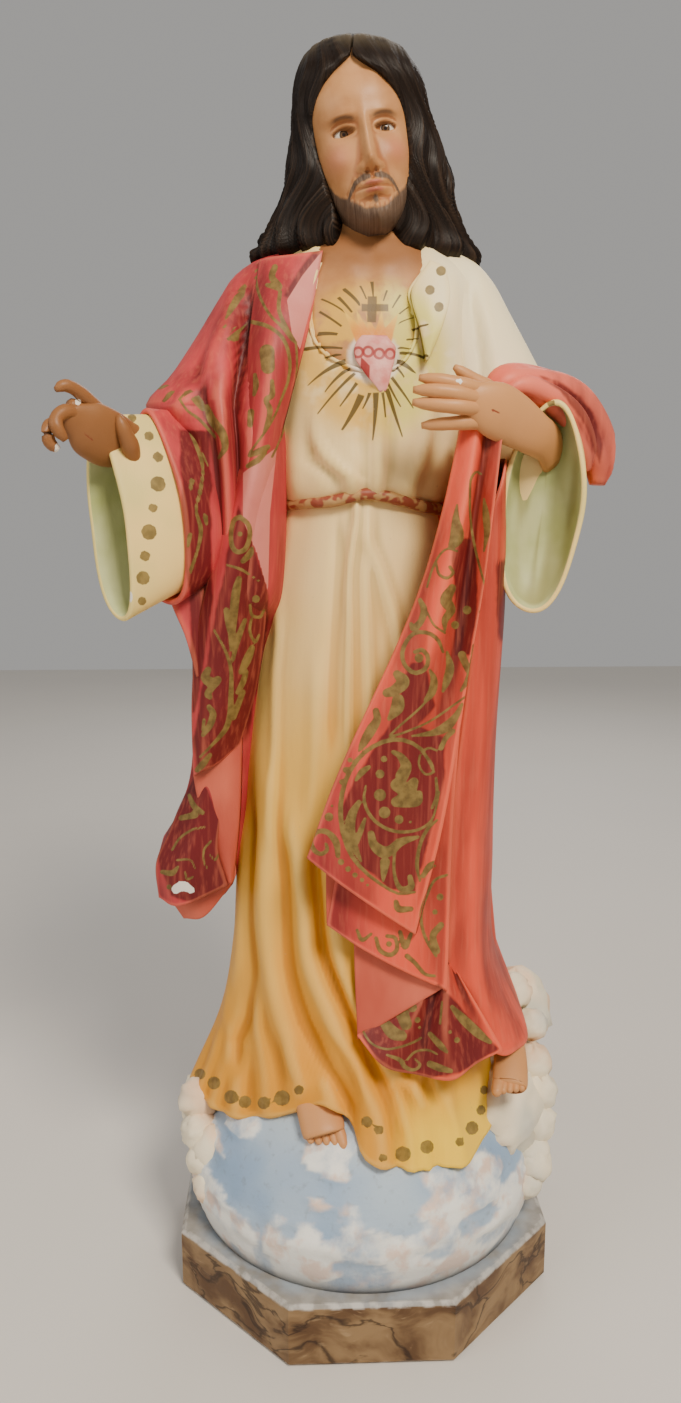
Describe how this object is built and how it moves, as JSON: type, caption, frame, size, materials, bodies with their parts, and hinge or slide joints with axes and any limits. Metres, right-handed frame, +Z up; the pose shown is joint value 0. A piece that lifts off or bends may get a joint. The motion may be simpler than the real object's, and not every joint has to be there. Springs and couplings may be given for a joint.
{
  "type": "sacred heart statue",
  "caption": "Painted plaster statue of a robed, bearded figure with a flaming heart on the breast, standing on a globe of clouds above an octagonal plinth.",
  "frame": {"origin": "centre of the plinth's underside, on the surface that it stands on", "axes": "+Z up, the figure and one flat side of the plinth face -Y, +X is to the viewer's right"},
  "size_m": [0.3734, 0.2891, 0.9139],
  "materials": {
    "statue": "hand-painted plaster, satin",
    "plinth": "plaster painted as marble, silver-grey top"
  },
  "bodies": {
    "root": {"statue": "statue", "plinth": "plinth"}
  },
  "joints": []
}
